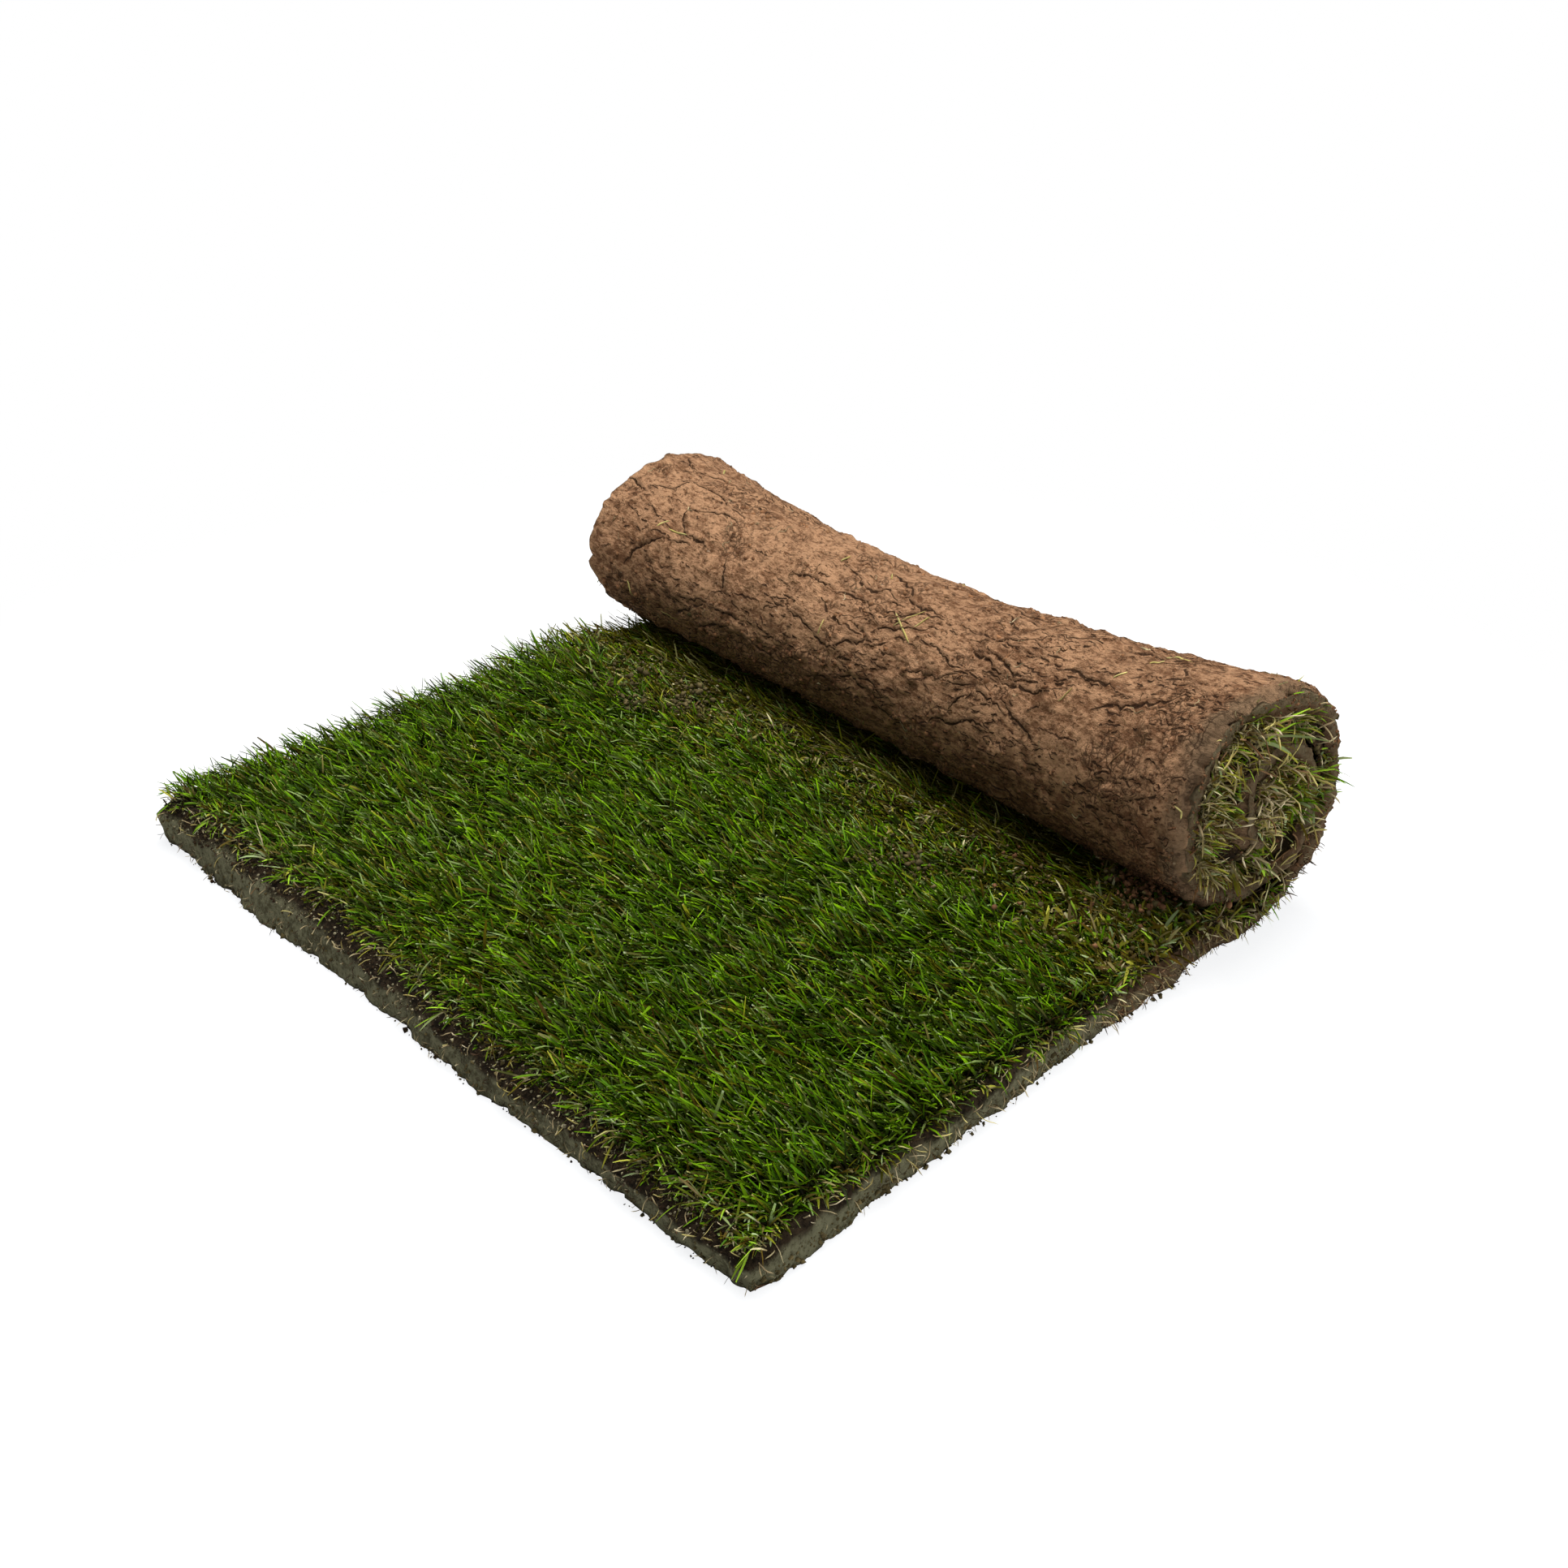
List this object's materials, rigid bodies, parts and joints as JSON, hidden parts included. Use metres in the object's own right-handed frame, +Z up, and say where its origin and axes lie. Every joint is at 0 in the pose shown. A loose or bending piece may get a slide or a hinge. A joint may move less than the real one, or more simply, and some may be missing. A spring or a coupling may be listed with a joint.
{
  "type": "turf roll",
  "caption": "Strip of turf, half unrolled: a flat length of soil mat with grass on it that winds up, grass inwards, into a loose waisted coil resting on the flat length.",
  "frame": {"origin": "on the flat underside, at the middle of the flat length and of the strip's width", "axes": "+X along the strip from its cut end towards the coil, +Y across the strip along the coil, +Z up"},
  "size_m": [0.592, 0.6522, 0.1934],
  "materials": {
    "soil": "crumbly dry brown earth, matt, cracked where the coil bends it",
    "grass": "dense combed green blades with a dull sheen"
  },
  "bodies": {
    "root": {"soil_mat": "soil", "grass_sward": "grass"}
  },
  "joints": []
}
